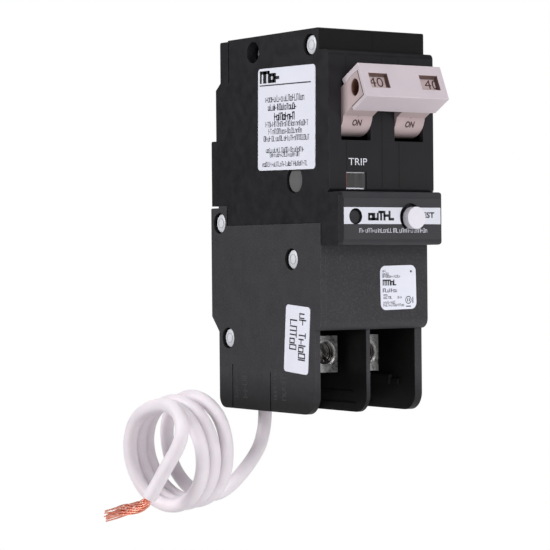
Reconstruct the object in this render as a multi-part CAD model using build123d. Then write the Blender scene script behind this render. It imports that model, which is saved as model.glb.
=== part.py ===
"""A two-pole ground-fault circuit breaker with a common trip handle and a coiled pigtail.

Millimetres. X runs across the poles, -Y is the front where the handle is, +Z is up.
The origin is on the flat rear face, so everything but the cord's far end has y below zero.
"""
from build123d import *
import math
import os

os.makedirs("parts", exist_ok=True)

# Widths: the poles are each three quarters of an inch wide.
POLE_WIDTH = 19.05
HALF_WIDTH = POLE_WIDTH
CASE_HALF = HALF_WIDTH + 0.32
CASE_RIGHT = HALF_WIDTH + 0.67
COVER_WIDTH = 6.2
WALL = 1.65
SEAM_GAP = 0.03

# Depths, from the rear face at zero to the front.
TOP_FRONT = -56.3
RAISED_FRONT = -60.6
WING_FRONT = -64.85
BLOCK_FRONT = -63.9
CASE_FRONT = -56.5
PARTITION_FRONT = -53.5
BAY_BACK = -29.5

# Heights.
TOP = 66.95
REAR_LIP_TOP = 66.6
RAISED_TOP = 60.5
RAISED_BOTTOM = 19.7
BLOCK_TOP = 19.5
BLOCK_LIP_TOP = 19.85
BLOCK_BOTTOM = 4.5
BLOCK_CORNER = 0.9
SEAM = 11.0
CASE_LOW = -20.0
BOTTOM = -44.1
FRONT_BOTTOM = -44.4

# The handle turns about an axis along X. Its lever is tilted up in the ON position.
PIVOT_Y = -55.3
PIVOT_Z = 42.3
ON_TILT = math.radians(29.5)
DRUM_R = 6.35
LEVER_HALF = 3.8
TIE_TOP = 5.4
TIE_LOW = 5.1
TRUNNION_R = 2.0
RUNNING = 0.05
HEAD_TOP_U = 16.9
HEAD_LOW_U = 15.92
TIE_X = (-14.6, 15.15)
TIE_WINDOWS = [(-11.95, -5.3), (6.3, 12.95)]
TIE_GAP = 0.1

# Each pole: name, left edge, handle's two sides.
POLES = {
    "a": {"left": -POLE_WIDTH, "handle": (-14.5, -4.15)},
    "b": {"left": 0.0, "handle": (4.75, 15.1)},
}
POLE_CENTRE = {"a": -POLE_WIDTH / 2, "b": POLE_WIDTH / 2}

# Rivets through the whole width: place in the side view and how deep the head is set.
UPPER_RIVETS = [(-51.7, 62.3, 0.95), (-22.8, 62.3, 3.7)]
LOWER_RIVETS = [(-4.5, 11.8, 0.95), (-42.1, 0.6, 0.95), (-8.75, -23.0, 0.95)]
RIVET_RECESS_DEPTH = 1.3
RIVET_RECESS_R = 3.2
RIVET_HEAD_R = 2.7
RIVET_SHANK_R = 1.5
RIVET_TAIL_R = 2.4
RIVET_BOSS_R = 3.9
RIVET_DOME_R = 8.0

# Mechanism.
ARM_PIN = (-40.0, 33.0)
ARM_PIN_R = 1.6
CRADLE_PIN = (-30.0, 57.0)
CRADLE_PIN_R = 1.5
TRIP_SHAFT = (-38.5, 19.5)
TRIP_SHAFT_R = 1.4
PLUNGER_X = -4.5
PLUNGER_Y = -33.0
PLUNGER_R = 1.5
PLUG_PLACE = (-43.5, 23.6)
PLUG_R = 3.45
PLUG_SET = 0.7
PLUG_BACK = 1.25

# Terminals.
LUG_X = {"a": -7.6, "b": 7.6}
LUG_Z = -27.1
LUG_HEIGHT = (-32.8, -22.0)
LUG_FRONT = -42.0
LUG_BACK = -30.0
SCREW_R = 3.2
SCREW_FRONT = -40.1

# Face of the ground-fault block.
BLOCK_LEFT = -16.85
BLOCK_RIGHT = HALF_WIDTH + 0.15
LED_X = -12.3
LED_Z = 12.7
LED_HOLE_R = 2.3
LED_R = 1.85
BUTTON_X = 7.95
BUTTON_Z = 12.3
BUTTON_R = 3.2
BUTTON_FACE = -66.5
BUTTON_FLANGE = (-61.15, -60.35)
BUTTON_WELL = (7.65, 12.6, 3.95)
FACE_BOARD_Y = (-57.4, -56.65)

# Pigtail: the exit in the base, the wire and its coil.
WIRE_R = 2.05
EXIT = (-9.5, -13.8)
BUSHING_R = 3.3
COIL_R = 15.0
COIL_DEPTH = 20.7
COIL_CENTRE = (-40.1, -15.3, -56.0)
COIL_HEADING = 10.0
COIL_RISE = 6.8


def outline(points):
    """A closed outline in the side view from (y, z) or (y, z, corner radius) points."""
    corners = [(p[0], p[1]) for p in points]
    radii = [p[2] if len(p) == 3 else 0 for p in points]
    return make_face(FilletPolyline(corners, radius=radii, close=True))


def slab(points, x0, x1):
    """A side-view outline given thickness from x0 to x1."""
    return extrude(Plane.YZ.offset(x0) * outline(points), x1 - x0)


def block(x0, x1, y0, y1, z0, z1):
    """A box between two corners."""
    centre = ((x0 + x1) / 2, (y0 + y1) / 2, (z0 + z1) / 2)
    return Pos(*centre) * Box(x1 - x0, y1 - y0, z1 - z0)


def rod_x(y, z, radius, x0, x1):
    """A round bar along X."""
    bar = Cylinder(radius, x1 - x0, align=(Align.CENTER, Align.CENTER, Align.MIN))
    return Pos(x0, y, z) * Rot(0, 90, 0) * bar


def rod_y(x, z, radius, y0, y1):
    """A round bar along Y."""
    bar = Cylinder(radius, y1 - y0, align=(Align.CENTER, Align.CENTER, Align.MIN))
    return Pos(x, y0, z) * Rot(-90, 0, 0) * bar


def rod_z(x, y, radius, z0, z1):
    """A round bar along Z."""
    bar = Cylinder(radius, z1 - z0, align=(Align.CENTER, Align.CENTER, Align.MIN))
    return Pos(x, y, z0) * bar


def bent_strap(path, thickness, x0, x1):
    """A flat strap folded along (y, z) points, with square corners."""
    half = thickness / 2
    strap = None
    for (y0, z0), (y1, z1) in zip(path, path[1:]):
        low_y, high_y = min(y0, y1) - half, max(y0, y1) + half
        low_z, high_z = min(z0, z1) - half, max(z0, z1) + half
        piece = block(x0, x1, low_y, high_y, low_z, high_z)
        strap = piece if strap is None else strap + piece
    return strap


def coil_spring(start, end, radius, wire, turns):
    """A helical spring between two points in the side plane of one x."""
    axis = Vector(*end) - Vector(*start)
    helix = Helix(pitch=axis.length / turns, height=axis.length, radius=radius)
    section = Plane(origin=helix @ 0, z_dir=helix % 0) * Circle(wire / 2)
    spring = sweep(section, path=helix, is_frenet=True)
    return Plane(origin=start, x_dir=(1, 0, 0), z_dir=axis) * spring


def lever_point(u, v):
    """A side-view point from its distance out along the lever and down across it."""
    y = PIVOT_Y - u * math.cos(ON_TILT) - v * math.sin(ON_TILT)
    z = PIVOT_Z + u * math.sin(ON_TILT) - v * math.cos(ON_TILT)
    return (y, z)


def save(shape, name):
    export_step(shape, f"parts/{name}.step")


# ---------------------------------------------------------------- upper housing

UPPER_OUTLINE = [
    (-5.2, 54.3), (-5.2, REAR_LIP_TOP, 0.6), (-9.5, REAR_LIP_TOP), (-9.5, TOP),
    (TOP_FRONT, TOP, 0.6), (TOP_FRONT, RAISED_TOP),
    (RAISED_FRONT, RAISED_TOP, 1.6), (RAISED_FRONT, RAISED_BOTTOM, 1.2), (TOP_FRONT, RAISED_BOTTOM),
    (TOP_FRONT, SEAM), (-8.45, SEAM), (-8.45, 17.0), (0, 17.0), (0, 36.8, 0.5),
    (-2.65, 36.8), (-2.65, 52.2),
]
UPPER_CAVITY = [
    (-6.9, 53.5), (-6.9, 64.9), (-54.6, 64.9), (-54.6, 58.3), (-58.9, 58.3), (-58.9, 21.4),
    (-54.6, 21.4), (-54.6, 12.7), (-10.0, 12.7), (-10.0, 18.7), (-1.7, 18.7), (-1.7, 35.1),
    (-4.35, 35.1), (-4.35, 51.5),
]
WING_OUTLINE = [
    (TOP_FRONT, SEAM), (TOP_FRONT, RAISED_BOTTOM + 3), (RAISED_FRONT + 1.5, RAISED_BOTTOM + 3),
    (RAISED_FRONT + 1.5, RAISED_BOTTOM), (WING_FRONT, RAISED_BOTTOM, 1.0),
    (WING_FRONT, BLOCK_BOTTOM, 0.8), (CASE_FRONT - 0.1, BLOCK_BOTTOM), (CASE_FRONT - 0.1, SEAM),
]
WELL_LOW = PIVOT_Z - 7.7
WELL_HIGH = PIVOT_Z + 7.7
WINDOW = {"x": (-13.0, -5.7), "z": (20.5, 25.6)}


def pole_shell(x0, x1, cavity_x0, cavity_x1):
    """One shell of a pole: the outer body less its share of the cavity."""
    return slab(UPPER_OUTLINE, x0, x1) - slab(UPPER_CAVITY, cavity_x0, cavity_x1)


def handle_well(pole):
    """The slot in the front that the toggle comes through."""
    x0, x1 = POLES[pole]["handle"]
    return block(x0 - 0.1, x1 + 0.1, RAISED_FRONT - 1, -58.0, WELL_LOW, WELL_HIGH)


def stab_slot(pole):
    """The slot in the rear that the bus stab goes into."""
    x = POLE_CENTRE[pole]
    return block(x - 2.4, x + 2.4, -7.5, -4.0, 55.5, 64.9)


def rivet_column(y, z, x0, x1):
    """A boss around a rivet inside a shell."""
    return rod_x(y, z, RIVET_BOSS_R, x0, x1)


def rivet_cuts(rivets, half_width, shank_r):
    """Shank holes and head recesses for a set of rivets, across the whole width."""
    cuts = None
    for y, z, depth in rivets:
        cut = rod_x(y, z, shank_r, -half_width - 1, half_width + 1)
        left_floor = -half_width + max(depth, RIVET_RECESS_DEPTH)
        cut += rod_x(y, z, RIVET_RECESS_R, -half_width - 1, left_floor)
        cut += rod_x(y, z, RIVET_RECESS_R, half_width - RIVET_RECESS_DEPTH, half_width + 1)
        cuts = cut if cuts is None else cuts + cut
    return cuts


def trunnion_boss(x0, x1):
    """A bearing ring for the handle's trunnion."""
    ring = rod_x(PIVOT_Y, PIVOT_Z, 3.4, x0, x1)
    return ring - rod_x(PIVOT_Y, PIVOT_Z, TRUNNION_R + RUNNING, x0, x1)


def trip_boss(x0, x1):
    """A bearing ring for the common trip bar."""
    ring = rod_x(*TRIP_SHAFT, 2.9, x0, x1)
    return ring - rod_x(*TRIP_SHAFT, TRIP_SHAFT_R + RUNNING, x0, x1)


def pole_cover(pole):
    """The thin left shell of a pole."""
    left = POLES[pole]["left"]
    outer = left + (SEAM_GAP if pole == "b" else 0)
    seam = left + COVER_WIDTH
    inner = left + WALL
    shell = pole_shell(outer, seam, inner, seam + 1)
    for y, z, _ in UPPER_RIVETS:
        shell += rivet_column(y, z, inner - 0.2, seam)
    handle_side = POLES[pole]["handle"][0]
    shell += trunnion_boss(inner - 0.2, handle_side - 0.15)
    shell -= handle_well(pole)
    shell -= rivet_cuts(UPPER_RIVETS, HALF_WIDTH, RIVET_SHANK_R)
    if pole == "a":
        shell -= block(outer - 1, outer + 0.25, -10.4, -9.5, 54.0, 66.2)
        shell += slab(WING_OUTLINE, outer, inner)
        shell += trip_boss(inner - 0.2, inner + 1.5)
        shell -= plug_recess()
        shell -= trip_window_cut()
    else:
        shell -= rod_x(*TRIP_SHAFT, TRIP_SHAFT_R + RUNNING, outer - 1, inner + 1)
    return shell


def pole_base(pole):
    """The deep right shell of a pole, which carries the mechanism."""
    left = POLES[pole]["left"]
    seam = left + COVER_WIDTH
    outer = left + POLE_WIDTH - (SEAM_GAP if pole == "a" else 0)
    inner = left + POLE_WIDTH - WALL
    shell = pole_shell(seam, outer, seam - 1, inner)
    for y, z, _ in UPPER_RIVETS:
        shell += rivet_column(y, z, seam, inner + 0.2)
    handle_side = POLES[pole]["handle"][1]
    shell += trunnion_boss(handle_side + 0.15, inner + 0.2)
    shell += rod_x(*ARM_PIN, ARM_PIN_R, seam - 1.5, inner + 0.2)
    shell += rod_x(*CRADLE_PIN, CRADLE_PIN_R, seam + 4.0, inner + 0.2)
    shell -= handle_well(pole)
    shell -= stab_slot(pole)
    shell -= rivet_cuts(UPPER_RIVETS, HALF_WIDTH, RIVET_SHANK_R)
    shell -= strap_passage(pole)
    if pole == "a":
        shell -= rod_x(*TRIP_SHAFT, TRIP_SHAFT_R + RUNNING, inner - 1, outer + 1)
        shell -= trip_window_cut()
        shell -= rod_z(PLUNGER_X, PLUNGER_Y, PLUNGER_R + 0.3, SEAM - 1, SEAM + 3)
    else:
        shell += trip_boss(inner - 1.5, inner + 0.2)
    return shell


def trip_window_cut():
    """The trip window: a rim that seats the lens and an opening behind it."""
    x0, x1 = WINDOW["x"]
    z0, z1 = WINDOW["z"]
    rim = block(x0, x1, RAISED_FRONT - 1, RAISED_FRONT + 0.9, z0, z1)
    opening = block(x0 + 0.6, x1 - 0.6, RAISED_FRONT - 1, -58.0, z0 + 0.9, z1 - 0.6)
    return rim + opening


def plug_recess():
    """The recess for the sealing plug in the left side."""
    return rod_x(*PLUG_PLACE, PLUG_R + 0.5, -HALF_WIDTH - 1, -HALF_WIDTH + PLUG_BACK)


def strap_passage(pole):
    """The hole through the joint between the upper and lower housings for a load strap."""
    x = POLE_CENTRE[pole]
    return block(x - 2.2, x + 2.2, -48.2, -46.6, SEAM - 3, SEAM + 3)


# ---------------------------------------------------------------- lower housing

CASE_OUTLINE = [
    (0, 16.4, 0.5), (0, -16.6), (-3.9, -21.1), (-3.9, BOTTOM, 3.4),
    (PARTITION_FRONT, FRONT_BOTTOM, 5.4), (PARTITION_FRONT, CASE_LOW), (CASE_FRONT, CASE_LOW, 2.9),
    (CASE_FRONT, SEAM - 0.1), (-8.4, SEAM - 0.1), (-8.4, 16.95), (-4.1, 16.95), (-4.1, 16.4),
]
CASE_CAVITY = [
    (-1.8, 14.7), (-1.8, -15.8), (-6.0, -20.3), (-6.0, -42.2), (-27.8, -42.2), (-27.8, -18.2),
    (-54.8, -18.2), (-54.8, 9.2), (-6.6, 9.2), (-6.6, 14.7),
]
CASE_SEAM = -17.52
BAYS = {"a": (-17.6, -0.85), "b": (0.45, 17.15)}
# Ledges on each bay's right wall: bay, how far it stands out, its front end and its z range.
BAY_LEDGES = [
    ("a", 0.3, -46.3, -38.7, -38.3), ("a", 0.4, -47.7, -42.1, -41.7),
    ("b", 1.3, -42.3, -37.0, -34.2), ("b", 0.6, -45.7, -37.0, -35.3),
]


def gfci_cover():
    """The left side plate of the lower housing, with two shallow mould grooves."""
    plate = slab(CASE_OUTLINE, -CASE_HALF, CASE_SEAM)
    plate -= rivet_cuts(LOWER_RIVETS, CASE_HALF, RIVET_SHANK_R)
    for y, z_top in [(-11.0, -30.8), (-30.9, -32.6)]:
        plate -= block(-CASE_HALF - 1, -CASE_HALF + 0.25, y - 0.25, y + 0.25, BOTTOM - 1, z_top)
    return plate


def gfci_case():
    """The lower housing: electronics chamber behind, two wiring bays in front and below."""
    case = slab(CASE_OUTLINE, CASE_SEAM, CASE_RIGHT)
    case -= slab(CASE_CAVITY, CASE_SEAM - 1, CASE_HALF - 1.85)
    for y, z, _ in LOWER_RIVETS:
        column = rod_x(y, z, RIVET_BOSS_R - 0.3, CASE_SEAM, CASE_HALF - 1.5)
        case += column & slab(CASE_OUTLINE, CASE_SEAM, CASE_HALF)
    for x0, x1 in BAYS.values():
        case -= block(x0, x1, PARTITION_FRONT - 1, BAY_BACK, BOTTOM - 1, CASE_LOW)
    for side, width, front, z0, z1 in BAY_LEDGES:
        wall = BAYS[side][1]
        case += block(wall - width, wall + 0.2, front, BAY_BACK + 0.2, z0, z1)
    case -= rivet_cuts(LOWER_RIVETS, CASE_HALF, RIVET_SHANK_R)
    for pole in POLES:
        x = LUG_X[pole]
        case -= strap_passage(pole)
        case -= block(x - 2.2, x + 2.2, BAY_BACK - 1, BAY_BACK + 2.5, -27.9, -26.3)
    case -= rod_z(PLUNGER_X, PLUNGER_Y, PLUNGER_R + 0.3, SEAM - 3, SEAM + 1)
    case -= rod_z(*EXIT, BUSHING_R, BOTTOM - 1, -41)
    return case



def pigtail_bushing():
    """The ring that the pigtail leaves through."""
    ring = rod_z(*EXIT, BUSHING_R, BOTTOM, -41.8)
    return ring - rod_z(*EXIT, WIRE_R, BOTTOM - 1, -41)


# ---------------------------------------------------------------- ground-fault face

BLOCK_OUTLINE = [
    (CASE_FRONT - 0.1, BLOCK_TOP), (RAISED_FRONT - 0.1, BLOCK_TOP),
    (RAISED_FRONT - 0.1, BLOCK_LIP_TOP), (BLOCK_FRONT, BLOCK_LIP_TOP, 0.4),
    (BLOCK_FRONT, BLOCK_BOTTOM, 0.8), (CASE_FRONT - 0.1, BLOCK_BOTTOM),
]
BLOCK_HOLLOW = [
    (CASE_FRONT + 1, BLOCK_TOP - 1.6), (BLOCK_FRONT + 1.7, BLOCK_TOP - 1.6),
    (BLOCK_FRONT + 1.7, BLOCK_BOTTOM + 1.6), (CASE_FRONT + 1, BLOCK_BOTTOM + 1.6),
]


def face_block():
    """The raised cover that holds the test button and status light."""
    cover = slab(BLOCK_OUTLINE, BLOCK_LEFT, BLOCK_RIGHT) & block_silhouette()
    cover -= slab(BLOCK_HOLLOW, BLOCK_LEFT + 1.6, HALF_WIDTH - 1.6)
    cover += rod_y(BUTTON_X, BUTTON_Z, 4.8, BLOCK_FRONT + 1.6, BLOCK_FRONT + 2.7)
    cover -= face_openings()
    return cover - rod_y(BUTTON_X, BUTTON_Z, BUTTON_R + RUNNING, BLOCK_FRONT - 1, BLOCK_FRONT + 4)


def block_silhouette():
    """A prism towards the front whose two right corners are rounded like the block's."""
    width = BLOCK_RIGHT - BLOCK_LEFT + 4
    height = BLOCK_LIP_TOP - BLOCK_BOTTOM
    middle = Pos(BLOCK_RIGHT - width / 2, BLOCK_BOTTOM + height / 2)
    return extrude(Plane.XZ * middle * RectangleRounded(width, height, BLOCK_CORNER), 70)


def face_openings():
    """The light's hole and the button's wider well, as far as the guide collar."""
    well_x, well_z, well_r = BUTTON_WELL
    light = rod_y(LED_X, LED_Z, LED_HOLE_R, BLOCK_FRONT - 1, BLOCK_FRONT + 3)
    return light + rod_y(well_x, well_z, well_r, BLOCK_FRONT - 1, BLOCK_FRONT + 1.7)


def face_label():
    """The printed plate on the front of the block."""
    label = block(BLOCK_LEFT + 0.3, HALF_WIDTH - 0.3, BLOCK_FRONT - 0.12, BLOCK_FRONT, 6.1, 17.9)
    return label - face_openings()


def test_button():
    """The push button: a round cap with a retaining flange and a spring spigot."""
    cap = rod_y(BUTTON_X, BUTTON_Z, BUTTON_R, BUTTON_FACE, BUTTON_FLANGE[0] + 0.1)
    flange = rod_y(BUTTON_X, BUTTON_Z, BUTTON_R + 0.9, *BUTTON_FLANGE)
    spigot = rod_y(BUTTON_X, BUTTON_Z, 1.2, BUTTON_FLANGE[1] - 0.1, -59.8)
    return cap + flange + spigot


def button_spring():
    """The return spring between the button and the face board."""
    start = (BUTTON_X, BUTTON_FLANGE[1] + 0.22, BUTTON_Z)
    end = (BUTTON_X, FACE_BOARD_Y[0] - 0.22, BUTTON_Z)
    return coil_spring(start, end, 1.9, 0.35, 3)


def status_led():
    """The round status light just behind the face."""
    return rod_y(LED_X, LED_Z - 0.15, LED_R, BLOCK_FRONT + 0.5, FACE_BOARD_Y[0])


def face_board():
    """The small board that carries the light and the test contact."""
    x0, x1 = BLOCK_LEFT + 1.8, HALF_WIDTH - 1.8
    return block(x0, x1, *FACE_BOARD_Y, BLOCK_BOTTOM + 1.8, BLOCK_TOP - 1.8)


# ---------------------------------------------------------------- labels, plug, window

def side_label():
    """The rating label on the left side, set very slightly askew."""
    centre_y, centre_z = -39.8, 41.8
    plate = extrude(Plane.YZ * RectangleRounded(28.8, 30.1, 1.2), 0.14)
    return Pos(-HALF_WIDTH - 0.14, centre_y, centre_z) * Rot(1.0, 0, 0) * plate


def side_sticker():
    """The small upright sticker low on the left side."""
    plate = extrude(Plane.YZ * RectangleRounded(12.0, 19.6, 1.1), 0.12)
    return Pos(-CASE_HALF - 0.12, -44.7, -22.7) * Rot(4.2, 0, 0) * plate


def front_label():
    """The small square label on the front of the lower housing."""
    plate = extrude(Plane.XZ * RectangleRounded(13.2, 12.9, 1.9), 0.12)
    return Pos(8.7, CASE_FRONT, -7.9) * Rot(0, -1.2, 0) * plate


def sealing_plug():
    """The grey disc that seals the calibration screw."""
    return rod_x(*PLUG_PLACE, PLUG_R, -HALF_WIDTH + PLUG_SET, -HALF_WIDTH + PLUG_BACK)


def trip_lens():
    """The clear lens of the trip window."""
    x0, x1 = WINDOW["x"]
    z0, z1 = WINDOW["z"]
    return block(x0 + 0.05, x1 - 0.05, RAISED_FRONT + 0.35, RAISED_FRONT + 0.9, z0 + 0.05, z1 - 0.05)


def trip_flag():
    """The coloured flag that drops behind the window after a trip."""
    x0, x1 = WINDOW["x"]
    return block(x0 - 0.4, x1 + 0.4, -58.7, -58.0, 26.6, 32.4)


# ---------------------------------------------------------------- rivets

def rivets(places, half_width):
    """Rivets through the whole width, with low domed heads on the left."""
    group = []
    for y, z, depth in places:
        floor = -half_width + max(depth, RIVET_RECESS_DEPTH)
        face = -half_width + depth - 0.45
        shank = rod_x(y, z, RIVET_SHANK_R, floor - 0.1, half_width - 1.2)
        ball = Pos(face + RIVET_DOME_R, y, z) * Sphere(RIVET_DOME_R)
        head = ball & rod_x(y, z, RIVET_HEAD_R, face - 1, floor)
        tail = rod_x(y, z, RIVET_TAIL_R, half_width - RIVET_RECESS_DEPTH, half_width - 0.5)
        group.append(shank + head + tail)
    return Compound(children=group) if len(group) > 1 else group[0]


# ---------------------------------------------------------------- handle


def toggle(pole):
    """A toggle: drum, lever, trunnions and the inner finger that works the mechanism."""
    x0, x1 = POLES[pole]["handle"]
    left_wall = POLES[pole]["left"] + WALL
    right_wall = POLES[pole]["left"] + POLE_WIDTH - WALL
    corners = [(0, -LEVER_HALF), (HEAD_TOP_U, -LEVER_HALF), (HEAD_LOW_U, LEVER_HALF), (0, LEVER_HALF)]
    body = rod_x(PIVOT_Y, PIVOT_Z, DRUM_R, x0, x1)
    body += slab([lever_point(u, v) for u, v in corners], x0, x1)
    body += rod_x(PIVOT_Y, PIVOT_Z, TRUNNION_R, left_wall + 0.1, right_wall - 0.1)
    finger = [(-10.5, -1.5), (-10.5, 1.5), (0, 1.5), (0, -1.5)]
    middle = (x0 + x1) / 2
    body += slab([lever_point(u, v) for u, v in finger], middle - 2, middle + 2)
    hole_y, hole_z = lever_point(13.65, -0.2)
    hole = extrude(Plane.YZ.offset(x0 - 1) * Pos(hole_y, hole_z) * Ellipse(1.95, 2.5), 6.5)
    return body - hole


def tie_bar():
    """The channel that joins the two toggles, with a window over each rating number."""
    outer = [(9.9, -TIE_TOP), (18.45, -TIE_TOP, 0.2), (17.3, TIE_LOW, 0.3), (9.9, TIE_LOW)]
    inner = [(8, -LEVER_HALF - TIE_GAP), (HEAD_TOP_U + TIE_GAP, -LEVER_HALF - TIE_GAP),
             (HEAD_LOW_U + TIE_GAP, LEVER_HALF + TIE_GAP), (8, LEVER_HALF + TIE_GAP)]
    outer_points = [lever_point(*p[:2]) + tuple(p[2:]) for p in outer]
    bar = slab(outer_points, *TIE_X)
    bar -= slab([lever_point(u, v) for u, v in inner], TIE_X[0] - 1, TIE_X[1] + 1)
    opening = [(14, -2.25), (20, -2.25), (20, 2.25), (14, 2.25)]
    for x0, x1 in TIE_WINDOWS:
        bar -= slab([lever_point(u, v) for u, v in opening], x0, x1)
    return bar


# ---------------------------------------------------------------- mechanism of one pole

def line_jaw(pole):
    """The clip that grips the bus stab, with the strap that leads to the fixed contact."""
    x = POLE_CENTRE[pole]
    back = block(x - 2.3, x + 2.3, -17.4, -16.0, 41.3, 64.4)
    foot = block(x - 2.3, x + 2.3, -22.2, -16.0, 41.3, 42.7)
    jaw = back + foot
    for side in (-1, 1):
        leaf = block(x + side * 1.7 - 0.6, x + side * 1.7 + 0.6, -16.1, -6.2, 56.2, 64.4)
        jaw += leaf
    return jaw


def fixed_contact(pole):
    """The silver pad under the jaw's foot."""
    x = POLE_CENTRE[pole]
    return block(x - 1.6, x + 1.6, -21.6, -17.6, 40.3, 41.3)


def contact_arm(pole):
    """The moving arm, hinged at its eye."""
    x = POLE_CENTRE[pole]
    y, z = ARM_PIN
    eye = rod_x(y, z, 3.2, x - 1.6, x + 1.6)
    bar = slab([(-40.4, 35.2), (-39.6, 30.9), (-18.8, 36.2), (-16.6, 36.6), (-16.6, 39.2), (-21.6, 39.2)],
               x - 1.6, x + 1.6)
    bore = rod_x(y, z, ARM_PIN_R + RUNNING, x - 3, x + 3)
    return eye + bar - bore


def moving_contact(pole):
    """The silver pad on the arm."""
    x = POLE_CENTRE[pole]
    return block(x - 1.5, x + 1.5, -21.5, -17.7, 39.2, 40.25)


def cradle(pole):
    """The latch plate of the trip mechanism."""
    x = POLE_CENTRE[pole] + 3.4
    plate = slab([(-32.6, 59.2, 1.5), (-27.6, 59.2, 1.5), (-25.2, 54.0, 1.0), (-29.0, 50.6, 1.0),
                  (-41.4, 44.6, 0.5), (-42.1, 46.3, 0.5), (-34.0, 52.4, 1.0)], x, x + 1.5)
    return plate - rod_x(*CRADLE_PIN, CRADLE_PIN_R + RUNNING, x - 1, x + 3)


def operating_spring(pole):
    """The tension spring of the mechanism."""
    x = POLES[pole]["left"] + COVER_WIDTH - 1.0
    return coil_spring((x, -37.5, 38.0), (x, -32.4, 50.5), 1.6, 0.5, 9)


def bimetal(pole):
    """The thermal strip and its foot."""
    x = POLE_CENTRE[pole]
    strip = block(x - 3, x + 3, -50.7, -49.8, 14.0, 33.5)
    return strip + block(x - 3, x + 3, -50.7, -45.6, 14.0, 15.0)


def magnet_yoke(pole):
    """The U-shaped yoke around the bimetal."""
    x = POLE_CENTRE[pole]
    yoke = block(x - 5, x + 5, -49.7, -48.5, 17.0, 25.0)
    for side in (-1, 1):
        yoke += block(x + side * 4.4 - 0.6, x + side * 4.4 + 0.6, -48.6, -44.6, 17.0, 25.0)
    return yoke


def arc_chute(pole):
    """Splitter plates held between two side sheets."""
    x = POLE_CENTRE[pole]
    chute = block(x - 6.3, x - 5.6, -14.7, -6.6, 19.6, 38.4)
    chute += block(x + 5.6, x + 6.3, -14.7, -6.6, 19.6, 38.4)
    for level in range(6):
        z = 21.0 + 3.0 * level
        chute += block(x - 5.7, x + 5.7, -14.7, -6.6, z, z + 0.9)
    return chute


def load_strap(pole):
    """The conductor from the bimetal through the sensor to the lug."""
    x = POLE_CENTRE[pole]
    lug_x = LUG_X[pole]
    drop = [(-47.4, 13.4), (-47.4, 8.0), (-17.0, 8.0), (-17.0, -26.4)]
    strap = bent_strap(drop, 1.2, x - 2.0, x + 2.0)
    tail = bent_strap([(-16.4 - 0.6, -27.1), (LUG_BACK + 0.6, -27.1)], 1.2, lug_x - 2.0, lug_x + 2.0)
    link = block(min(x, lug_x) - 2.0, max(x, lug_x) + 2.0, -17.6, -16.4, -27.7, -25.8)
    return strap + tail + link


def trip_bar():
    """The bar that trips both poles, with a paddle in each and a tab over the plunger."""
    reach = HALF_WIDTH - WALL - 0.1
    bar = rod_x(*TRIP_SHAFT, TRIP_SHAFT_R, -reach, reach)
    y, z = TRIP_SHAFT
    for x in POLE_CENTRE.values():
        bar += block(x - 1.5, x + 1.5, y - 0.6, y + 0.6, z, z + 7.2)
    return bar + block(PLUNGER_X - 1.3, PLUNGER_X + 1.3, y, y + 7.0, z - 0.8, z + 0.8)


# ---------------------------------------------------------------- terminals

def lug(pole):
    """The box lug with a raised collar round its screw."""
    x = LUG_X[pole]
    body = block(x - 4.8, x + 4.7, LUG_FRONT, LUG_BACK, *LUG_HEIGHT)
    body += rod_y(x, LUG_Z, 4.15, LUG_FRONT - 0.35, LUG_FRONT + 0.1)
    body -= block(x - 3.5, x + 3.5, -37.2, -31.4, LUG_Z - 6, LUG_Z + 6)
    body -= rod_y(x, LUG_Z, 3.75, LUG_FRONT - 1, LUG_FRONT + 0.1)
    for ring in range(4):
        y = LUG_FRONT + 0.6 + 0.9 * ring
        body -= rod_y(x, LUG_Z, SCREW_R + 0.35, y, y + 0.4)
    return body - rod_y(x, LUG_Z, SCREW_R + RUNNING, LUG_FRONT - 1, -37.0)


def lug_screw(pole):
    """The clamping screw with a straight slot."""
    x = LUG_X[pole]
    screw = rod_y(x, LUG_Z, SCREW_R, SCREW_FRONT, -37.1)
    slot = block(-SCREW_R, SCREW_R, SCREW_FRONT - 1, SCREW_FRONT + 1.2, -0.6, 0.6)
    return screw - Pos(x, 0, LUG_Z) * Rot(0, 50, 0) * slot


def pressure_pad(pole):
    """The pad that the screw presses on the wire."""
    x = LUG_X[pole]
    return block(x - 3.4, x + 3.4, -37.1, -36.0, LUG_Z - 4.2, LUG_Z + 4.2)


# ---------------------------------------------------------------- electronics

def main_board():
    """The circuit board of the ground-fault unit with its larger components."""
    board = block(-16.4, 16.6, -54.0, -52.4, -17.2, 6.5)
    board += block(-5.0, 3.0, -52.5, -50.6, -9.0, -3.0)
    board += rod_z(-11.0, -49.2, 3.3, -15.0, -3.0)
    board += rod_y(9.0, -10.0, 4.2, -52.5, -49.0)
    return board + block(12.0, 15.0, -52.5, -49.4, -3.0, 4.0)


def sensor_core():
    """The current sensor: one closed ring around both load straps."""
    outer = Pos(0, -17.0, -4.0) * extrude(RectangleRounded(31.5, 15.0, 6.0), 8.0)
    inner = Pos(0, -17.0, -5.0) * extrude(RectangleRounded(25.0, 8.0, 3.0), 10.0)
    return outer - inner


def solenoid_frame():
    """The bracket of the trip solenoid."""
    x, y = PLUNGER_X, PLUNGER_Y
    frame = block(x - 4.8, x + 4.8, y - 4.8, y + 5.6, -13.4, -12.2)
    frame += block(x - 4.8, x + 4.8, y - 4.8, y + 5.6, 0.2, 1.4)
    frame += block(x - 4.8, x + 4.8, y + 4.6, y + 5.6, -13.4, 1.4)
    return frame - rod_z(x, y, PLUNGER_R + RUNNING, -1, 3)


def solenoid_coil():
    """The winding of the trip solenoid."""
    x, y = PLUNGER_X, PLUNGER_Y
    return rod_z(x, y, 4.4, -12.2, 0.2) - rod_z(x, y, PLUNGER_R + RUNNING, -13, 1)


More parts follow.
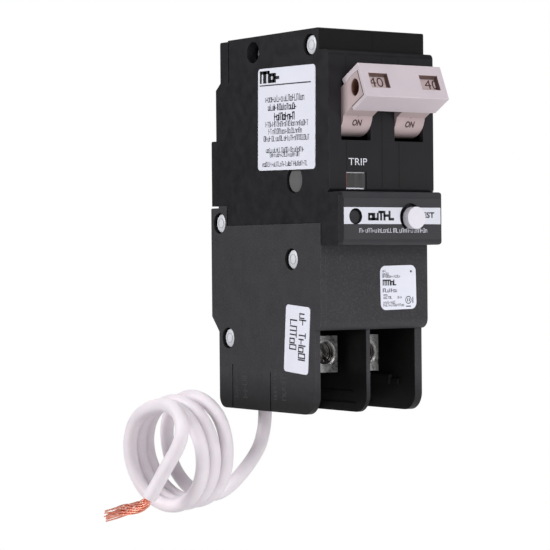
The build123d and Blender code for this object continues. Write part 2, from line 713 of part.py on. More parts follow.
def solenoid_plunger():
    """The plunger that pushes the trip bar."""
    x, y = PLUNGER_X, PLUNGER_Y
    return rod_z(x, y, PLUNGER_R, -9.0, 15.6) + rod_z(x, y, 0.7, 15.5, 18.5)


# ---------------------------------------------------------------- pigtail

LEAD = [
    (-9.5, -13.8, -42.4), (-9.5, -13.8, -46.8), (-10.3, -14.1, -51.3), (-12.4, -15.1, -55.6),
    (-16.4, -16.8, -59.4), (-21.2, -18.7, -62.8), (-25.6, -19.4, -66.2), (-28.9, -16.8, -69.2),
]
TAIL = [
    (-49.8, -19.5, -41.4), (-50.1, -24.9, -41.7), (-50.6, -29.8, -43.9), (-51.2, -32.5, -48.3),
    (-52.1, -31.4, -53.1), (-53.6, -27.2, -59.0), (-55.8, -21.6, -68.1),
]
BARE = [(-55.8, -21.6, -68.1), (-56.4, -20.07, -70.6), (-57.7, -10.0, -72.5), (-58.6, -1.0, -75.0)]
BARE_R = 1.5


def bend_radii(points):
    """A radius for each bend: 0.45 of the shorter run beside it, over the half turn's tangent."""
    radii = []
    for before, here, after in zip(points, points[1:], points[2:]):
        into = Vector(*here) - Vector(*before)
        out = Vector(*after) - Vector(*here)
        half_turn = math.radians(into.get_angle(out)) / 2
        radii.append(0.45 * min(into.length, out.length) / math.tan(half_turn))
    return radii


def tube(points, radius):
    """A round tube of straight runs and tangent bends along the points."""
    radii = bend_radii(points)
    path = FilletPolyline(points, radius=radii)
    start = Plane(origin=path @ 0, z_dir=path % 0)
    body = sweep(start * Circle(radius), path=path)
    shown = ", ".join(f"{r:.1f}" for r in radii)
    share = body.volume / (math.pi * radius ** 2 * path.length)
    print(f"tube of {path.length:.1f} mm, bends {shown}, volume ratio {share:.3f}")
    return body


def pigtail_coil():
    """One closed solid of the coil's outer shape."""
    ring = Cylinder(COIL_R + WIRE_R, COIL_DEPTH) - Cylinder(COIL_R - WIRE_R, COIL_DEPTH + 2)
    return Pos(*COIL_CENTRE) * Rot(0, 0, COIL_HEADING) * Rot(0, 90 - COIL_RISE, 0) * ring


# ---------------------------------------------------------------- write every sub-part

for pole in POLES:
    save(pole_cover(pole), f"pole_{pole}_cover")
    save(pole_base(pole), f"pole_{pole}_base")
    save(toggle(pole), f"toggle_{pole}")
    save(line_jaw(pole), f"line_jaw_{pole}")
    save(fixed_contact(pole), f"fixed_contact_{pole}")
    save(contact_arm(pole), f"contact_arm_{pole}")
    save(moving_contact(pole), f"moving_contact_{pole}")
    save(cradle(pole), f"cradle_{pole}")
    save(operating_spring(pole), f"operating_spring_{pole}")
    save(bimetal(pole), f"bimetal_{pole}")
    save(magnet_yoke(pole), f"magnet_yoke_{pole}")
    save(arc_chute(pole), f"arc_chute_{pole}")
    save(load_strap(pole), f"load_strap_{pole}")
    save(lug(pole), f"lug_{pole}")
    save(lug_screw(pole), f"lug_screw_{pole}")
    save(pressure_pad(pole), f"pressure_pad_{pole}")

save(gfci_case(), "gfci_case")
save(gfci_cover(), "gfci_cover")
save(face_block(), "face_block")
save(face_label(), "face_label")
save(test_button(), "test_button")
save(button_spring(), "button_spring")
save(status_led(), "status_led")
save(face_board(), "face_board")
save(side_label(), "side_label")
save(side_sticker(), "side_sticker")
save(front_label(), "front_label")
save(sealing_plug(), "sealing_plug")
save(trip_lens(), "trip_lens")
save(trip_flag(), "trip_flag")
save(trip_bar(), "trip_bar")
save(tie_bar(), "tie_bar")
save(rivets(UPPER_RIVETS, HALF_WIDTH), "rivets_upper")
save(rivets(LOWER_RIVETS, CASE_HALF), "rivets_lower")
save(main_board(), "main_board")
save(sensor_core(), "sensor_core")
save(solenoid_frame(), "solenoid_frame")
save(solenoid_coil(), "solenoid_coil")
save(solenoid_plunger(), "solenoid_plunger")
save(pigtail_bushing(), "pigtail_bushing")
save(tube(LEAD, WIRE_R) - pigtail_coil(), "pigtail_lead")
save(pigtail_coil(), "pigtail_coil")
save(tube(TAIL, WIRE_R) - pigtail_coil(), "pigtail_tail")
save(tube(BARE, BARE_R), "pigtail_bare")
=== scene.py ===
"""How a two-pole ground-fault circuit breaker looks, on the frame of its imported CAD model.

The frame is the CAD model's: X runs across the poles, -Y is the front, +Z is up. Sizes are written
in millimetres and become metres as each mesh, curve or light is made.
"""
import math
import random

import bmesh
import bpy
from mathutils import Matrix, Vector


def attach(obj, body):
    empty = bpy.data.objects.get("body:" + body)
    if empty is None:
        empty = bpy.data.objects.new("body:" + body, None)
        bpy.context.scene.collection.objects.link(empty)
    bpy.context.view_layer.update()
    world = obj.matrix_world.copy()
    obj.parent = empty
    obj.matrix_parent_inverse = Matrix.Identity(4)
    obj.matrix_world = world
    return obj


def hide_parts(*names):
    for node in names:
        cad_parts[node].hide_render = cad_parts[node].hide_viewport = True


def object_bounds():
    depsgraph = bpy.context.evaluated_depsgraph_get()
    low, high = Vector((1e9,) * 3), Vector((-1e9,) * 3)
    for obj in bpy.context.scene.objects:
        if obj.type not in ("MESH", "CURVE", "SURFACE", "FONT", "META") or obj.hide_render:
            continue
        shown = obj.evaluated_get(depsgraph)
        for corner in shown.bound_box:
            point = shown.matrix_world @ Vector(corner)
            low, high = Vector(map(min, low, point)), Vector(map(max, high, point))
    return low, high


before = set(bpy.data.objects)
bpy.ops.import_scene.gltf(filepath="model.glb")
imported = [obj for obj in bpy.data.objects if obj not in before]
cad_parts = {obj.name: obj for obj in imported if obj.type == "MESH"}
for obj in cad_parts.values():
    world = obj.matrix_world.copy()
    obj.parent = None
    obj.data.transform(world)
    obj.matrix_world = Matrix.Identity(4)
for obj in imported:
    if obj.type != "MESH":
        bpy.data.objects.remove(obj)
cad_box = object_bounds()
MM = 0.001

# The camera: where it stands, its three turns and its lens.
CAMERA_PLACE = (-408.12, -589.35, -0.60)
CAMERA_HEADING = math.radians(-34.98)
CAMERA_PITCH = math.radians(0.284)
CAMERA_ROLL = math.radians(-0.496)
LENS_MM = 150.9

# Light that reaches the object from the backdrop and the floor.
WORLD_LIGHT = 0.05
FLOOR_GLOW = 1.5
FLOOR_GLOW_MIDDLE = (150, -250, 0)
FLOOR_GLOW_REACH = 650

# The case, as in the CAD model.
HALF_WIDTH = 19.05
CASE_HALF = 19.37
RAISED_FRONT = -60.6
BLOCK_FRONT = -63.9
TOP = 66.95
CASE_FRONT = -56.5
LENS_FRONT = -60.3

# Round holes in the face block, as (x, z, radius), and the rivet heads that are sunk in the left side,
# as (y, z, how far out from the middle).
FACE_HOLES = [(-12.3, 12.7, 2.3), (7.65, 12.6, 3.95)]
RIVET_SUNK = 0.5
RIVET_HEADS = [
    (-51.7, 62.3, HALF_WIDTH - RIVET_SUNK), (-4.5, 11.8, CASE_HALF - RIVET_SUNK),
    (-42.1, 0.6, CASE_HALF - RIVET_SUNK), (-8.75, -23.0, CASE_HALF - RIVET_SUNK),
]

# Print and seams: the thickness of a label's film, how far ink stands off its label, how far it stands
# off the case's side, half the width of a seam, and the places of the seams across the poles.
FILM = 0.12
INK_LIFT = 0.02
SIDE_INK_LIFT = 0.14
SEAM_HALF = 0.17
SEAMS = (-12.85, 0.0, 6.2)

# The handle, as in the CAD model.
PIVOT_Y = -55.3
PIVOT_Z = 42.3
ON_TILT = math.radians(29.5)
DRUM_R = 6.35
HEAD_TOP_U = 16.9
HEAD_LOW_U = 15.92
LEVER_HALF = 3.8
TIE_ENDS = (-14.6, 15.15)

# Where each toggle's left side, its drum's middle, its rating and the tie's window over it lie across.
TOGGLES = {
    "a": {"left": -14.5, "middle": -9.325, "rating": -8.75, "window": (-11.95, -5.3)},
    "b": {"left": 4.75, "middle": 9.925, "rating": 11.3, "window": (6.3, 12.95)},
}

# Boxes inside which painted shade darkens a piece: the wire bays, the strip over the raised
# front, the button's root in its well, and the lugs' bores.
PAINTED_BAY_SHADE = ((-17.7, -53.2, -45.0), (17.3, -29.2, -19.9))
PAINTED_TOP_SHADE = ((-20.0, -57.0, 60.7), (20.0, -56.0, 66.5))
PAINTED_BUTTON_SHADE = ((3.0, -64.1, 8.0), (13.0, -50.0, 17.0))
PAINTED_BORE_SHADE = [((x - 3.75, -41.85, -30.85), (x + 3.75, -36.0, -23.35)) for x in (-7.6, 7.6)]

# Painted shade in the crevices between the tie's end and the toggle in it: each corner's distance out
# along the lever and down across it.
PAINTED_TIE_SHADE = [
    [(9.9, 3.75), (16.1, 3.75), (16.1, 4.05), (9.9, 4.05)],
    [(16.95, -3.6), (17.25, -3.6), (16.25, 4.05), (15.95, 4.05)],
]

# The pigtail's route: the same points as in the CAD model.
WIRE_R = 2.05
LEAD = [
    (-9.5, -13.8, -42.4), (-9.5, -13.8, -46.8), (-10.3, -14.1, -51.3), (-12.4, -15.1, -55.6),
    (-16.4, -16.8, -59.4), (-21.2, -18.7, -62.8), (-25.6, -19.4, -66.2), (-28.9, -16.8, -69.2),
]
TAIL = [
    (-49.8, -19.5, -41.4), (-50.1, -24.9, -41.7), (-50.6, -29.8, -43.9), (-51.2, -32.5, -48.3),
    (-52.1, -31.4, -53.1), (-53.6, -27.2, -59.0), (-55.8, -21.6, -68.1),
]
BARE = [(-55.8, -21.6, -68.1), (-56.4, -20.07, -70.6), (-57.7, -10.0, -72.5), (-58.6, -1.0, -75.0)]

# The bare strands: a core, an inner ring and an outer ring, each as (radius, first angle, count).
STRAND_R = 0.21
STRAND_RINGS = [(0, 0, 1), (0.55, 0, 6), (1.05, 15, 12)]
STRAND_STEPS = 14
STRAND_TWIST = 200
STRAND_STRAY = 0.45

# The coil: its middle, its axis, and how its turns lie. Each station is an angle in degrees from the
# bottom, a place along the axis and a radius. The turns are loose, so no two gaps are alike.
COIL_MIDDLE = Vector((-40.9, -15.45, -56.1))
COIL_HEADING = math.radians(10.0)
COIL_RISE = math.radians(6.8)
COIL_STEP = 20
COIL_STATIONS = [
    (10, 8.9, 15.0), (90, 8.2, 15.0), (180, 6.4, 15.9), (230, 5.3, 15.9), (270, 4.0, 15.4),
    (360, 2.4, 15.2), (450, 0.9, 16.0), (630, -0.9, 15.2), (810, -3.0, 15.0), (990, -5.3, 15.0),
    (1170, -7.0, 15.0), (1250, -7.3, 15.0),
]


# ---------------------------------------------------------------- materials

def node_material(name):
    """An empty node material: its tree, its shader and a coordinate source."""
    made = bpy.data.materials.new(name)
    made.use_nodes = True
    tree = made.node_tree
    tree.nodes.clear()
    output = tree.nodes.new("ShaderNodeOutputMaterial")
    shader = tree.nodes.new("ShaderNodeBsdfPrincipled")
    tree.links.new(shader.outputs["BSDF"], output.inputs["Surface"])
    place = tree.nodes.new("ShaderNodeTexCoord")
    return made, tree, shader, place.outputs["Object"]


def noise(tree, place, size_mm, detail=3.0, stretch=(1, 1, 1)):
    """A noise value whose features are about size_mm across."""
    mapping = tree.nodes.new("ShaderNodeMapping")
    mapping.inputs["Scale"].default_value = stretch
    texture = tree.nodes.new("ShaderNodeTexNoise")
    texture.inputs["Scale"].default_value = 1.0 / (size_mm * MM)
    texture.inputs["Detail"].default_value = detail
    tree.links.new(place, mapping.inputs["Vector"])
    tree.links.new(mapping.outputs["Vector"], texture.inputs["Vector"])
    return texture.outputs["Fac"]


def ranged(tree, value, low, high, from_low=0.3, from_high=0.7):
    """A value remapped from the middle of a noise to low and high."""
    remap = tree.nodes.new("ShaderNodeMapRange")
    remap.inputs["From Min"].default_value = from_low
    remap.inputs["From Max"].default_value = from_high
    remap.inputs["To Min"].default_value = low
    remap.inputs["To Max"].default_value = high
    tree.links.new(value, remap.inputs["Value"])
    return remap.outputs["Result"]


def mixed(tree, factor, first, second):
    """A colour between two colours or colour sockets."""
    mix = tree.nodes.new("ShaderNodeMix")
    mix.data_type = "RGBA"
    tree.links.new(factor, mix.inputs["Factor"])
    for socket, colour in ((mix.inputs["A"], first), (mix.inputs["B"], second)):
        if isinstance(colour, tuple):
            socket.default_value = (*colour, 1)
        else:
            tree.links.new(colour, socket)
    return mix.outputs["Result"]


def edge_mask(tree, width_mm):
    """One on sharp edges and zero on flats, for corners paler where worn and with painted highlight."""
    soft = tree.nodes.new("ShaderNodeBevel")
    soft.samples = 4
    soft.inputs["Radius"].default_value = width_mm * MM
    true = tree.nodes.new("ShaderNodeNewGeometry")
    dot = tree.nodes.new("ShaderNodeVectorMath")
    dot.operation = "DOT_PRODUCT"
    tree.links.new(soft.outputs["Normal"], dot.inputs[0])
    tree.links.new(true.outputs["Normal"], dot.inputs[1])
    return ranged(tree, dot.outputs["Value"], 1.0, 0.0, 0.80, 0.99)


def bump(tree, shader, value, depth_mm):
    """A relief of depth_mm on the shader's normal."""
    relief = tree.nodes.new("ShaderNodeBump")
    relief.inputs["Strength"].default_value = 1.0
    relief.inputs["Distance"].default_value = depth_mm * MM
    tree.links.new(value, relief.inputs["Height"])
    tree.links.new(relief.outputs["Normal"], shader.inputs["Normal"])


def inside_box(tree, apart, low, high):
    """One inside a box in millimetres and zero outside it."""
    result = None
    for axis, start, end in zip("XYZ", low, high):
        for edge, operation in ((start, "GREATER_THAN"), (end, "LESS_THAN")):
            test = tree.nodes.new("ShaderNodeMath")
            test.operation = operation
            test.inputs[1].default_value = edge * MM
            tree.links.new(apart.outputs[axis], test.inputs[0])
            if result is None:
                result = test.outputs["Value"]
                continue
            both = tree.nodes.new("ShaderNodeMath")
            both.operation = "MULTIPLY"
            tree.links.new(result, both.inputs[0])
            tree.links.new(test.outputs["Value"], both.inputs[1])
            result = both.outputs["Value"]
    return result


def lever_frame(tree, place):
    """Coordinates from the handle's pivot: X across, Y back along the lever, Z square to it."""
    y = PIVOT_Y * math.cos(ON_TILT) - PIVOT_Z * math.sin(ON_TILT)
    z = PIVOT_Y * math.sin(ON_TILT) + PIVOT_Z * math.cos(ON_TILT)
    mapping = tree.nodes.new("ShaderNodeMapping")
    mapping.inputs["Location"].default_value = (0, -y * MM, -z * MM)
    mapping.inputs["Rotation"].default_value = (ON_TILT, 0, 0)
    tree.links.new(place, mapping.inputs["Vector"])
    return mapping.outputs["Vector"]


def shaded(tree, place, colour, boxes, shade):
    """A colour that changes to a painted shade inside any of some boxes."""
    apart = tree.nodes.new("ShaderNodeSeparateXYZ")
    tree.links.new(place, apart.inputs["Vector"])
    for low, high in boxes:
        colour = mixed(tree, inside_box(tree, apart, low, high), colour, shade)
    return colour


def plastic(name, dark, light, rough, grain_mm, grain_depth, edge=None, gloss=0.4, speckle=None,
            painted_shade_boxes=(), shade=(0.006, 0.006, 0.006), fade=None, levered=False):
    """Moulded plastic: mottled colour, uneven gloss, spark-eroded grain; edges paler where worn and with
    painted highlight.
    Its list of shade boxes holds places, such as the insides of recesses, where painted shade darkens the
    plastic.
    fade is a pair of heights between which painted shade darkens the plastic towards its low edge.
    levered says that the boxes are set out in the handle's own frame."""
    made, tree, shader, place = node_material(name)
    colour = mixed(tree, ranged(tree, noise(tree, place, 6.0), 0, 1), dark, light)
    if speckle:
        dots = ranged(tree, noise(tree, place, 0.45, 1.0), 0, 1, 0.5, 0.75)
        colour = mixed(tree, dots, colour, speckle)
    # Paler edges: partly worn, partly painted highlight.
    if edge:
        edge_wear_and_highlight = tree.nodes.new("ShaderNodeMath")
        edge_wear_and_highlight.operation = "MULTIPLY"
        tree.links.new(edge_mask(tree, 0.25), edge_wear_and_highlight.inputs[0])
        tree.links.new(ranged(tree, noise(tree, place, 1.5), 0.3, 1.0), edge_wear_and_highlight.inputs[1])
        colour = mixed(tree, edge_wear_and_highlight.outputs["Value"], colour, edge)
    # Painted shade: darker towards the low edge, between the two fade heights.
    if fade:
        height = tree.nodes.new("ShaderNodeSeparateXYZ")
        tree.links.new(place, height.inputs["Vector"])
        dim = ranged(tree, height.outputs["Z"], 0.85, 0.0, fade[0] * MM, fade[1] * MM)
        colour = mixed(tree, dim, colour, shade)
    # Painted shade inside the shade boxes.
    colour = shaded(tree, lever_frame(tree, place) if levered else place, colour, painted_shade_boxes, shade)
    tree.links.new(colour, shader.inputs["Base Color"])
    uneven = ranged(tree, noise(tree, place, 3.0), rough - 0.06, rough + 0.06)
    tree.links.new(uneven, shader.inputs["Roughness"])
    shader.inputs["Specular IOR Level"].default_value = gloss
    bump(tree, shader, noise(tree, place, grain_mm, 4.0), grain_depth)
    return made


def metal(name, dark, light, rough, brush=(1, 1, 1), grain_mm=0.3, grain_depth=0.01, metallic=1.0,
          bores=()):
    """Metal: tarnish between two tones, and a brushed or cast grain.
    bores lists boxes where painted shade darkens the insides."""
    made, tree, shader, place = node_material(name)
    tone = mixed(tree, ranged(tree, noise(tree, place, 2.0, 4.0), 0, 1), dark, light)
    # Painted shade inside the bore boxes.
    tone = shaded(tree, place, tone, bores, (0.20, 0.19, 0.18))
    tree.links.new(tone, shader.inputs["Base Color"])
    shader.inputs["Metallic"].default_value = metallic
    uneven = ranged(tree, noise(tree, place, 0.8, 2.0, brush), rough - 0.08, rough + 0.1)
    tree.links.new(uneven, shader.inputs["Roughness"])
    bump(tree, shader, noise(tree, place, grain_mm, 3.0, brush), grain_depth)
    return made


def film(name, colour, shade, rough=0.45):
    """Printed label film: nearly even, with a faint unevenness in tone and gloss."""
    made, tree, shader, place = node_material(name)
    tone = mixed(tree, ranged(tree, noise(tree, place, 9.0), 0, 1), colour, shade)
    tree.links.new(tone, shader.inputs["Base Color"])
    tree.links.new(ranged(tree, noise(tree, place, 2.0), rough - 0.05, rough + 0.05),
                   shader.inputs["Roughness"])
    shader.inputs["Specular IOR Level"].default_value = 0.35
    bump(tree, shader, noise(tree, place, 0.4), 0.004)
    return made


def insulation(name):
    """The wire's soft plastic skin: a faint mottle, a fine grain and a little light let in."""
    made, tree, shader, place = node_material(name)
    tone = mixed(tree, ranged(tree, noise(tree, place, 7.0), 0, 1),
                 (0.79, 0.735, 0.78), (0.73, 0.675, 0.72))
    tree.links.new(tone, shader.inputs["Base Color"])
    shader.inputs["Roughness"].default_value = 0.55
    shader.inputs["Subsurface Weight"].default_value = 0.25
    shader.inputs["Subsurface Radius"].default_value = (0.0012, 0.0008, 0.0008)
    bump(tree, shader, noise(tree, place, 0.7, 3.0), 0.04)
    return made


def smoked_lens(name):
    """The trip window's smoky clear plastic."""
    made, tree, shader, place = node_material(name)
    tone = mixed(tree, ranged(tree, noise(tree, place, 1.6, 2.0, (1, 1, 0.2)), 0, 1),
                 (0.012, 0.012, 0.012), (0.04, 0.04, 0.042))
    tree.links.new(tone, shader.inputs["Base Color"])
    shader.inputs["Roughness"].default_value = 0.15
    shader.inputs["Specular IOR Level"].default_value = 0.3
    shader.inputs["Coat Weight"].default_value = 0.2
    return made


def wound(name, base, line, pitch_mm):
    """A winding: fine bright turns across the axis. A wave of scale 1 repeats every 0.314 units."""
    made, tree, shader, place = node_material(name)
    wave = tree.nodes.new("ShaderNodeTexWave")
    wave.wave_type = "BANDS"
    wave.bands_direction = "Z"
    wave.inputs["Scale"].default_value = 0.314 / (pitch_mm * MM)
    tree.links.new(place, wave.inputs["Vector"])
    tree.links.new(mixed(tree, wave.outputs["Fac"], base, line), shader.inputs["Base Color"])
    shader.inputs["Metallic"].default_value = 0.7
    shader.inputs["Roughness"].default_value = 0.35
    bump(tree, shader, wave.outputs["Fac"], 0.05)
    return made


def rivet_wells(heads):
    """Painted shade boxes round the walls of the rivet heads' recesses, to just under the side's skin."""
    reach = 4
    skin = 0.02
    return [
        ((-out - RIVET_SUNK + skin, y - reach, z - reach), (-out + 3, y + reach, z + reach))
        for y, z, out in heads
    ]


def toggle_holes():
    """Painted shade boxes round the hole in each toggle's left side, in the handle's own frame."""
    lefts = [place["left"] for place in TOGGLES.values()]
    return [((left + 0.3, -16.25, -2.35), (left + 5.8, -11.05, 2.75)) for left in lefts]


def tie_windows():
    """Painted shade boxes round the walls of the tie's windows, in the handle's own frame."""
    spans = [place["window"] for place in TOGGLES.values()]
    return [((left - 0.05, -19.0, -2.3), (right + 0.05, -14.0, 2.3)) for left, right in spans]


def case_plastics():
    """The black mouldings: the poles, the module below them and the face block."""
    return {
        # Painted shade in the top rivet's recess and on the strip over the raised front.
        "case": plastic("case_black", (0.0105, 0.0095, 0.0115), (0.0125, 0.0115, 0.014), 0.42, 0.6, 0.006,
                        edge=(0.030, 0.030, 0.034), gloss=0.25,
                        painted_shade_boxes=rivet_wells(RIVET_HEADS[:1]) + [PAINTED_TOP_SHADE], shade=(0.003, 0.003, 0.003)),
        # Painted shade inside the wire bays and the lower rivets' recesses, and towards the side's bottom.
        "module": plastic("module_black", (0.0295, 0.028, 0.0325), (0.034, 0.0325, 0.037), 0.55, 0.35,
                          0.035, edge=(0.068, 0.067, 0.073), gloss=0.25, speckle=(0.048, 0.047, 0.053),
                          painted_shade_boxes=[PAINTED_BAY_SHADE] + rivet_wells(RIVET_HEADS[1:]),
                          shade=(0.003, 0.0028, 0.0028), fade=(-42.0, -33.0)),
        "block": plastic("block_black", (0.029, 0.028, 0.033), (0.034, 0.033, 0.038), 0.5, 0.5, 0.015,
                         edge=(0.066, 0.065, 0.071), gloss=0.25),
    }


def handle_plastics():
    """The parts that a finger moves: the tie, the toggles and the test button."""
    return {
        # Painted shade on the walls of the tie's windows.
        "tie": plastic("tie_beige", (0.53, 0.465, 0.505), (0.56, 0.49, 0.53), 0.5, 0.5, 0.008,
                       edge=(0.80, 0.74, 0.78), gloss=0.3,
                       painted_shade_boxes=tie_windows(), shade=(0.17, 0.10, 0.09), levered=True),
        # Painted shade inside the hole in each toggle's side.
        "toggle": plastic("toggle_beige", (0.44, 0.345, 0.355), (0.47, 0.37, 0.38), 0.5, 0.5, 0.008,
                          edge=(0.60, 0.50, 0.51), gloss=0.3,
                          painted_shade_boxes=toggle_holes(), shade=(0.19, 0.095, 0.07), levered=True),
        # Painted shadow on the button's root in its well.
        "button": plastic("button_white", (0.67, 0.65, 0.71), (0.70, 0.68, 0.74), 0.4, 0.6, 0.008,
                          edge=(0.83, 0.81, 0.87), gloss=0.3,
                          painted_shade_boxes=[PAINTED_BUTTON_SHADE], shade=(0.012, 0.012, 0.013)),
    }


def small_plastics():
    """Small parts outside and inside, the trip lens and the wire's skin."""
    return {
        "plug": plastic("plug_grey", (0.105, 0.103, 0.105), (0.130, 0.128, 0.130), 0.55, 0.3, 0.03,
                        edge=(0.15, 0.15, 0.15), gloss=0.2),
        "led": plastic("led_grey", (0.010, 0.010, 0.012), (0.022, 0.022, 0.025), 0.35, 1.0, 0.005,
                       gloss=0.3),
        "flag": plastic("flag_red", (0.45, 0.03, 0.03), (0.52, 0.05, 0.04), 0.45, 0.6, 0.01),
        "grey": plastic("trip_grey", (0.10, 0.10, 0.11), (0.14, 0.14, 0.15), 0.5, 0.6, 0.01),
        "board": plastic("board_green", (0.01, 0.09, 0.03), (0.02, 0.13, 0.05), 0.35, 0.8, 0.01),
        "core": plastic("core_blue", (0.02, 0.03, 0.10), (0.03, 0.05, 0.14), 0.35, 1.0, 0.02),
        "fibre": plastic("chute_fibre", (0.18, 0.06, 0.03), (0.24, 0.09, 0.05), 0.7, 0.4, 0.03),
        "rivet": plastic("rivet_steel", (0.66, 0.67, 0.72), (0.74, 0.75, 0.80), 0.38, 0.5, 0.02,
                         edge=(0.85, 0.86, 0.90), gloss=0.8),
        "rim": plastic("rivet_ring", (0.40, 0.40, 0.44), (0.50, 0.50, 0.54), 0.4, 0.5, 0.01),
        "lens": smoked_lens("lens_smoke"),
        "wire": insulation("wire_white"),
    }


def films():
    """Label films, inks and the dark of a seam."""
    return {
        "label": film("label_white", (0.76, 0.77, 0.86), (0.73, 0.74, 0.83)),
        "plate": film("label_black", (0.031, 0.030, 0.035), (0.036, 0.035, 0.040)),
        "stripe": film("stripe_white", (0.64, 0.65, 0.72), (0.61, 0.62, 0.69)),
        "ink": film("ink_black", (0.015, 0.015, 0.02), (0.025, 0.025, 0.03), 0.5),
        "faint": film("ink_faint", (0.02, 0.02, 0.035), (0.04, 0.04, 0.06), 0.5),
        "brown": film("ink_brown", (0.045, 0.022, 0.018), (0.07, 0.035, 0.03), 0.5),
        "white": film("ink_white", (0.76, 0.77, 0.84), (0.66, 0.67, 0.74), 0.5),
        "seam": film("seam_black", (0.002, 0.002, 0.002), (0.004, 0.004, 0.004), 0.7),
        "emboss": film("module_relief", (0.040, 0.039, 0.043), (0.048, 0.047, 0.051), 0.6),
    }


def metals():
    """Steels, alloys and copper."""
    return {
        "steel": metal("zinc_steel", (0.35, 0.35, 0.36), (0.62, 0.62, 0.63), 0.28, brush=(1, 1, 6)),
        # Painted shade inside the lugs' bores.
        "lug": metal("lug_alloy", (0.40, 0.40, 0.40), (0.62, 0.61, 0.60), 0.32,
                     grain_mm=0.35, grain_depth=0.015, bores=PAINTED_BORE_SHADE),
        "screw": metal("screw_steel", (0.15, 0.14, 0.14), (0.64, 0.63, 0.62), 0.20,
                       grain_mm=1.2, grain_depth=0.03),
        "silver": metal("silver_alloy", (0.75, 0.75, 0.74), (0.85, 0.85, 0.84), 0.3),
        "spring": metal("spring_steel", (0.45, 0.45, 0.47), (0.6, 0.6, 0.62), 0.3),
        "copper": metal("copper_plate", (0.72, 0.36, 0.22), (0.80, 0.45, 0.30), 0.35, brush=(1, 5, 1)),
        "strand": metal("copper_strand", (0.84, 0.25, 0.16), (0.99, 0.52, 0.40), 0.32,
                        grain_mm=0.4, metallic=0.85),
        "winding": wound("coil_winding", (0.35, 0.12, 0.05), (0.65, 0.28, 0.12), 0.5),
    }


def make_materials():
    """Every material by a short name."""
    return case_plastics() | handle_plastics() | small_plastics() | films() | metals()


# ---------------------------------------------------------------- mesh and curve helpers

def link(made):
    """Puts a new object into the scene."""
    bpy.context.scene.collection.objects.link(made)
    return made


def mesh_piece(name, verts, faces, material, body):
    """A mesh piece from points in millimetres."""
    mesh = bpy.data.meshes.new(name)
    mesh.from_pydata([tuple(c * MM for c in v) for v in verts], [], faces)
    mesh.materials.append(material)
    piece = link(bpy.data.objects.new(name, mesh))
    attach(piece, body)


def route_curve(name, points, radius, material):
    """One smooth tube along control points in millimetres."""
    curve = bpy.data.curves.new(name, "CURVE")
    curve.dimensions = "3D"
    spline = curve.splines.new("NURBS")
    spline.points.add(len(points) - 1)
    for control, point in zip(spline.points, points):
        control.co = (*[c * MM for c in point], 1)
    spline.order_u = 3
    spline.use_endpoint_u = True
    spline.resolution_u = 8
    curve.bevel_depth = radius * MM
    curve.bevel_resolution = 8
    curve.use_fill_caps = True
    curve.materials.append(material)
    return link(bpy.data.objects.new(name, curve))


def plane(origin, across, upward):
    """A drawing plane: a place, the direction letters run in and the direction they stand in."""
    across = Vector(across).normalized()
    upward = Vector(upward).normalized()
    normal = across.cross(upward)
    basis = Matrix((across, upward, normal)).transposed().to_4x4()
    return Matrix.Translation(origin) @ basis


def side_plane(y, z, x=-HALF_WIDTH - SIDE_INK_LIFT, turn=0.0):
    """A plane on the left side, where letters run to the front and stand a little turned."""
    across = Vector((0, -math.cos(turn), math.sin(turn)))
    upward = Vector((0, math.sin(turn), math.cos(turn)))
    return plane((x, y, z), across, upward)


def front_plane(x, z, y):
    """A plane on the front, where letters run to the right."""
    return plane((x, y, z), (1, 0, 0), (0, 0, 1))


def rectangles(name, boxes, where, material, body, lift=INK_LIFT):
    """Flat ink: rectangles (x0, y0, x1, y1) on a drawing plane, as one mesh."""
    verts = []
    faces = []
    for x0, y0, x1, y1 in boxes:
        start = len(verts)
        for x, y in ((x0, y0), (x1, y0), (x1, y1), (x0, y1)):
            verts.append(where @ Vector((x, y, lift)))
        faces.append((start, start + 1, start + 2, start + 3))
    mesh_piece(name, verts, faces, material, body)


def disc(name, rings, where, material, body):
    """A flat ring, or a disc when the inner radius is zero, on a drawing plane."""
    inner, outer = rings
    sides = 48
    verts = []
    for radius in (inner, outer):
        for step in range(sides):
            angle = 2 * math.pi * step / sides
            verts.append(where @ Vector((radius * math.cos(angle), radius * math.sin(angle), INK_LIFT)))
    faces = [(i, (i + 1) % sides, sides + (i + 1) % sides, sides + i) for i in range(sides)]
    if inner == 0:
        faces = [tuple(range(sides, 2 * sides))]
    mesh_piece(name, verts, faces, material, body)


def lettering(name, text, height, width, where, material, body, weight=0.0, wrap=None):
    """Real letters of a cap height and overall width, centred on a drawing plane.
    wrap, when given, lays each flat point on a curved face instead."""
    font = bpy.data.curves.new(name + "_font", "FONT")
    font.body = text
    font.size = 1.0
    font.offset = weight
    font.resolution_u = 4
    source = link(bpy.data.objects.new(name + "_source", font))
    mesh = bpy.data.meshes.new_from_object(source)
    bpy.data.objects.remove(source)
    bpy.data.curves.remove(font)
    xs = [v.co.x for v in mesh.vertices]
    ys = [v.co.y for v in mesh.vertices]
    scale = Vector((width / (max(xs) - min(xs)), height / (max(ys) - min(ys)), 0))
    centre = Vector(((max(xs) + min(xs)) / 2, (max(ys) + min(ys)) / 2, 0))
    for vertex in mesh.vertices:
        flat = vertex.co - centre
        vertex.co = (flat.x * scale.x, flat.y * scale.y, 0)
    if wrap:
        slice_rows(mesh, height)
    for vertex in mesh.vertices:
        lifted = Vector((vertex.co.x, vertex.co.y, INK_LIFT))
        vertex.co = (wrap(lifted) if wrap else where @ lifted) * MM
    mesh.materials.clear()
    mesh.materials.append(material)
    piece = link(bpy.data.objects.new(name, mesh))
    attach(piece, body)


def slice_rows(mesh, height, rows=8):
    """Cuts flat letters across at even heights, so that they can bend."""
    work = bmesh.new()
    work.from_mesh(mesh)
    for row in range(1, rows):
        level = height * (row / rows - 0.5)
        geometry = work.verts[:] + work.edges[:] + work.faces[:]
        bmesh.ops.bisect_plane(work, geom=geometry, plane_co=(0, level, 0), plane_no=(0, 1, 0))
    work.to_mesh(mesh)
    work.free()


